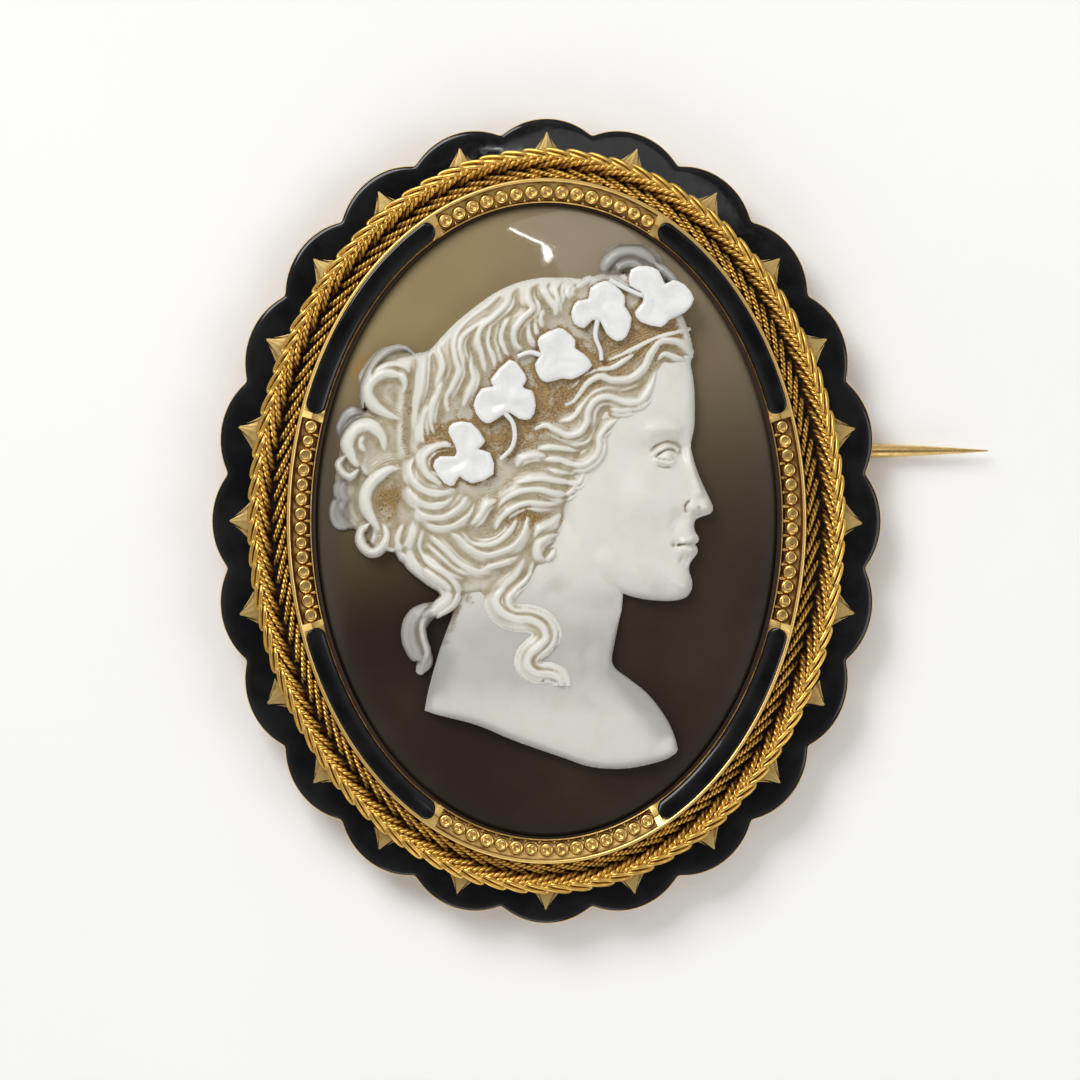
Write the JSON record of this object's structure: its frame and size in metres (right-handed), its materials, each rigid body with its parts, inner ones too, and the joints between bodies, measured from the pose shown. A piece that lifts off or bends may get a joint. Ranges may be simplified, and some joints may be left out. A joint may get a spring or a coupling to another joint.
{
  "type": "cameo brooch",
  "caption": "Oval cameo brooch with a carved relief bust, beaded bezel, plaited wire border, scalloped enamel edge and a hinged pin on its back.",
  "frame": {"origin": "middle of the flat back of the plate, behind the middle of the stone", "axes": "+Z out of the face, +Y towards the top of the bust's head, +X to the right, the way the pin points"},
  "size_m": [0.0581, 0.0602, 0.0076],
  "materials": {
    "gold": "polished yellow gold",
    "braid_gold": "worn gold wire, dark in its recesses",
    "black_enamel": "glossy fired enamel",
    "agate": "polished banded agate, white over brown"
  },
  "bodies": {
    "body": {"frame_plate": "gold", "border_enamel": "black_enamel", "braid_outer": "braid_gold", "braid_inner": "braid_gold", "bezel": "gold", "bezel_enamel_upper_left": "black_enamel", "bezel_enamel_upper_right": "black_enamel", "bezel_enamel_lower_left": "black_enamel", "bezel_enamel_lower_right": "black_enamel", "cameo": "agate", "hinge_rivet": "gold"},
    "pin": {"pin_stem": "gold"}
  },
  "joints": [
    {"name": "pin_hinge", "type": "hinge", "parent": "body", "child": "pin", "pos_m": [-0.019, 0.00525, -0.00105], "axis": [0, 1, 0], "range_deg": [0, 80]}
  ]
}
